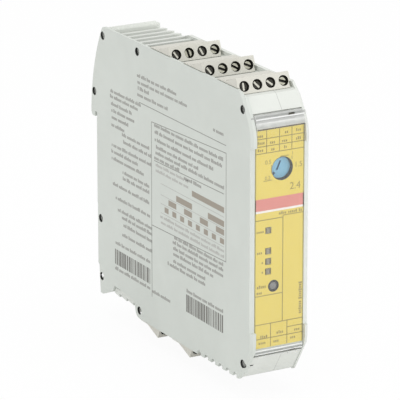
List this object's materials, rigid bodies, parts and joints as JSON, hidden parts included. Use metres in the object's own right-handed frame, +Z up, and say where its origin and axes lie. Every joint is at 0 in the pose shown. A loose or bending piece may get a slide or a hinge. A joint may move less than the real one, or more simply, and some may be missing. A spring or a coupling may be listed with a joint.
{
  "type": "safety relay module",
  "caption": "Slim rail-mounted safety relay with rows of slanted plug-in screw terminals at top and bottom, a hinged clear front cover, a setting knob and a reset button.",
  "frame": {"origin": "middle of the flat seat that rests on the mounting rail", "axes": "+Y towards the rail, so the front faces -Y; +Z up; +X to the right seen from the front, with the printed side cover at -X"},
  "size_m": [0.0226, 0.1137, 0.1074],
  "materials": {
    "housing_plastic": "light grey moulded, fine matt",
    "terminal_plastic": "cream moulded, satin",
    "label_sheet": "printed front sheet, satin",
    "clear_plastic": "clear polycarbonate",
    "knob_plastic": "blue moulded",
    "button_plastic": "grey moulded",
    "screw_steel": "zinc plated",
    "clamp_steel": "zinc plated",
    "spring_steel": "bright",
    "board_laminate": "green solder mask",
    "black_plastic": "black moulded",
    "header_plastic": "green-black moulded",
    "relay_plastic": "pale moulded case",
    "sink_aluminium": "extruded, plain",
    "can_aluminium": "sleeved can",
    "film_case": "potted plastic case",
    "lamp_lens": "diffused",
    "window_plastic": "smoked light pipe",
    "latch_plastic": "light grey moulded",
    "shaft_metal": "turned"
  },
  "bodies": {
    "housing": {"housing_tub": "housing_plastic", "side_cover": "housing_plastic", "front_panel": "housing_plastic", "front_label": "label_sheet", "potentiometer": "black_plastic", "reset_switch": "black_plastic", "light_pipes": "window_plastic", "status_lamps": "lamp_lens", "terminal_screws": "screw_steel", "clamp_cages": "clamp_steel", "main_board": "board_laminate", "front_board": "board_laminate", "board_connector": "black_plastic", "heat_sink": "sink_aluminium", "power_switches": "black_plastic", "supply_transformer": "black_plastic", "capacitors": "can_aluminium", "snubber_capacitors": "film_case", "controllers": "black_plastic", "latch_spring": "spring_steel", "top_terminal_1": "terminal_plastic", "top_header_1": "header_plastic", "safety_relay_1": "relay_plastic", "current_transformer_1": "black_plastic", "top_terminal_2": "terminal_plastic", "top_header_2": "header_plastic", "safety_relay_2": "relay_plastic", "current_transformer_2": "black_plastic", "top_terminal_3": "terminal_plastic", "top_header_3": "header_plastic", "safety_relay_3": "relay_plastic", "current_transformer_3": "black_plastic", "bottom_terminal_1": "terminal_plastic", "bottom_header_1": "header_plastic", "bottom_terminal_2": "terminal_plastic", "bottom_header_2": "header_plastic"},
    "cover": {"clear_cover": "clear_plastic"},
    "knob": {"setting_knob": "knob_plastic", "potentiometer_shaft": "shaft_metal"},
    "button": {"reset_button": "button_plastic"},
    "latch": {"rail_latch": "latch_plastic"}
  },
  "joints": [
    {"name": "cover_hinge", "type": "hinge", "parent": "housing", "child": "cover", "pos_m": [0, -0.10682, 0.0416], "axis": [-1, 0, 0], "range_deg": [0, 110]},
    {"name": "knob_turn", "type": "hinge", "parent": "housing", "child": "knob", "pos_m": [0.0012, -0.105, 0.0237], "axis": [0, 1, 0], "range_deg": [-135, 135]},
    {"name": "button_press", "type": "slide", "parent": "housing", "child": "button", "axis": [0, 1, 0], "range_m": [0, 0.001], "stiffness_N_per_m": 1200, "springref_m": -0.0005},
    {"name": "latch_slide", "type": "slide", "parent": "housing", "child": "latch", "axis": [0, 0, -1], "range_m": [0, 0.003], "stiffness_N_per_m": 2000, "springref_m": -0.002, "deforming": ["latch_spring"]}
  ]
}
